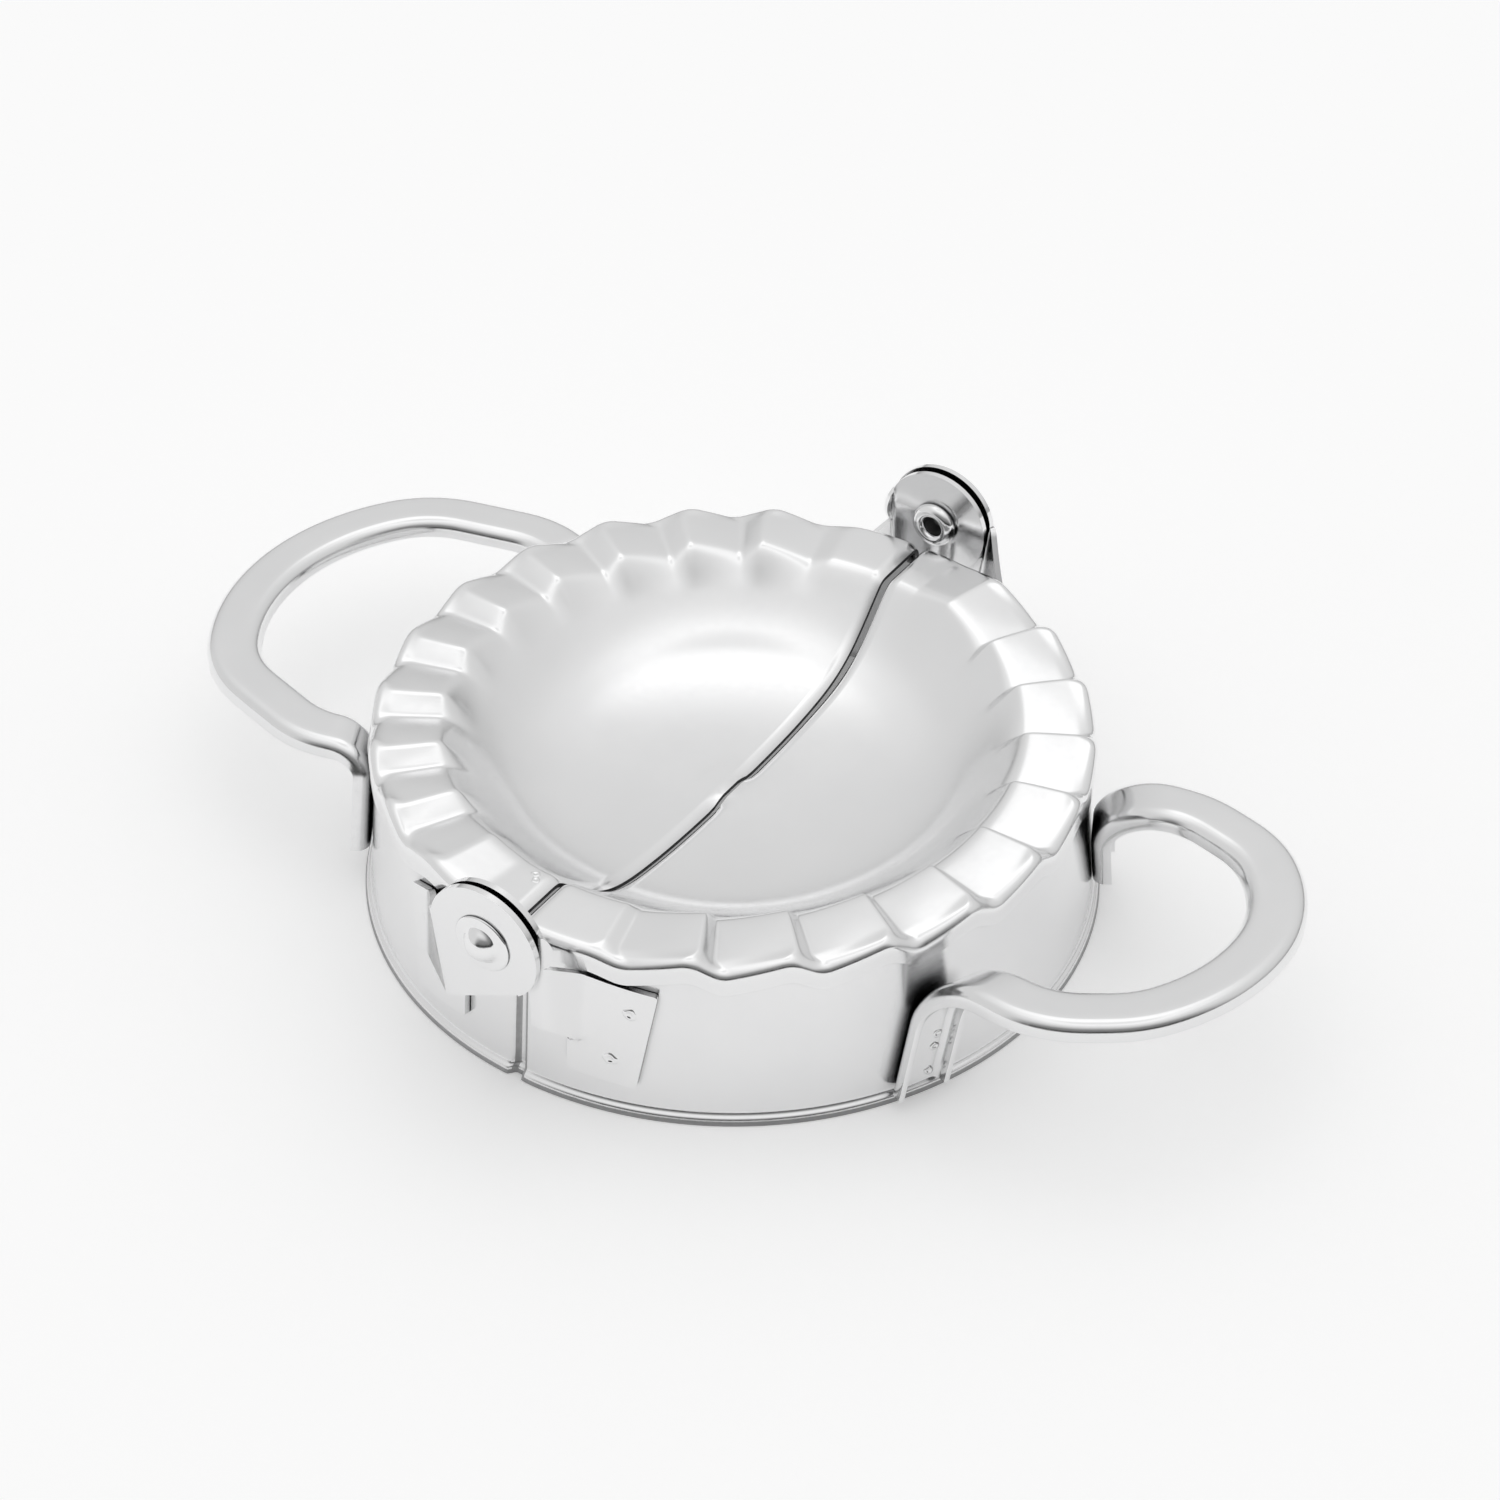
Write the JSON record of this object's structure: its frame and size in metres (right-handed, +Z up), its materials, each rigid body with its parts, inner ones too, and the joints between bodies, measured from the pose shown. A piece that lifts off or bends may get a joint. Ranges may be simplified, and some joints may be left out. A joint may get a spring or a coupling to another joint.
{
  "type": "empanada press",
  "caption": "Hinged hand press of polished stainless sheet that cuts a round of dough, holds its filling and crimps the folded edge.",
  "frame": {"origin": "middle of the base, on the table, under the middle of the fold line", "axes": "+X to the right handle, +Y along the fold line to the far hinge, +Z up out of the bowls"},
  "size_m": [0.1602, 0.1111, 0.0342],
  "materials": {
    "plate_steel": "polished",
    "skirt_steel": "polished",
    "handle_steel": "polished",
    "leaf_steel": "polished",
    "rivet_steel": "polished"
  },
  "bodies": {
    "left_half": {"left_press_plate": "plate_steel", "left_cutter_skirt": "skirt_steel", "left_handle": "handle_steel", "near_left_hinge_leaf": "leaf_steel", "far_left_hinge_leaf": "leaf_steel", "near_hinge_rivet": "rivet_steel", "far_hinge_rivet": "rivet_steel"},
    "right_half": {"right_press_plate": "plate_steel", "right_cutter_skirt": "skirt_steel", "right_handle": "handle_steel", "near_right_hinge_leaf": "leaf_steel", "far_right_hinge_leaf": "leaf_steel"}
  },
  "joints": [
    {"name": "fold", "type": "hinge", "parent": "left_half", "child": "right_half", "pos_m": [0, 0, 0.0262], "axis": [0, -1, 0], "range_deg": [0, 180]}
  ]
}
